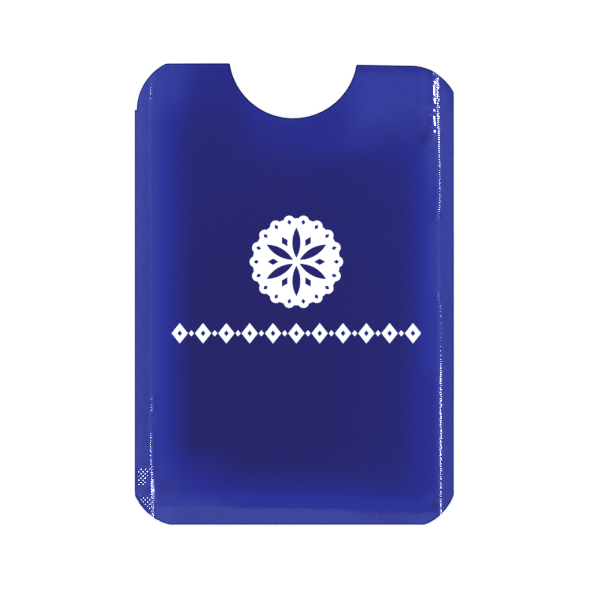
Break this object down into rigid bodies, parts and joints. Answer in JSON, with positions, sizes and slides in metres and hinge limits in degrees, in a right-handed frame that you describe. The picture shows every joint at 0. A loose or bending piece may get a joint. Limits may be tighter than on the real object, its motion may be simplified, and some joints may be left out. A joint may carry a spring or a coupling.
{
  "type": "rfid card sleeve",
  "caption": "Flat shielded card sleeve of glossy blue laminate, welded along both sides and the closed end, open at the top with a thumb notch.",
  "frame": {"origin": "middle of the sleeve's outline, on the surface that its back rests on", "axes": "+X to the right of the front, +Y along the sleeve to its open mouth, +Z out of the front panel"},
  "size_m": [0.063, 0.091, 0.0019],
  "materials": {
    "printed_film": "glossy blue film over metal, with a clear top face and a fine orange-peel surface",
    "shield_foil": "bright rolled aluminium foil",
    "inner_liner": "translucent sealable liner, silvery over the foil behind it",
    "seal": "fused liner, knurled by the sealing jaws",
    "white_ink": "opaque white ink, slightly glossy"
  },
  "bodies": {
    "root": {"front_film": "printed_film", "front_foil": "shield_foil", "front_liner": "inner_liner", "back_liner": "inner_liner", "back_foil": "shield_foil", "back_film": "printed_film", "left_seal": "seal", "right_seal": "seal", "bottom_seal": "seal", "front_print": "white_ink"}
  },
  "joints": []
}
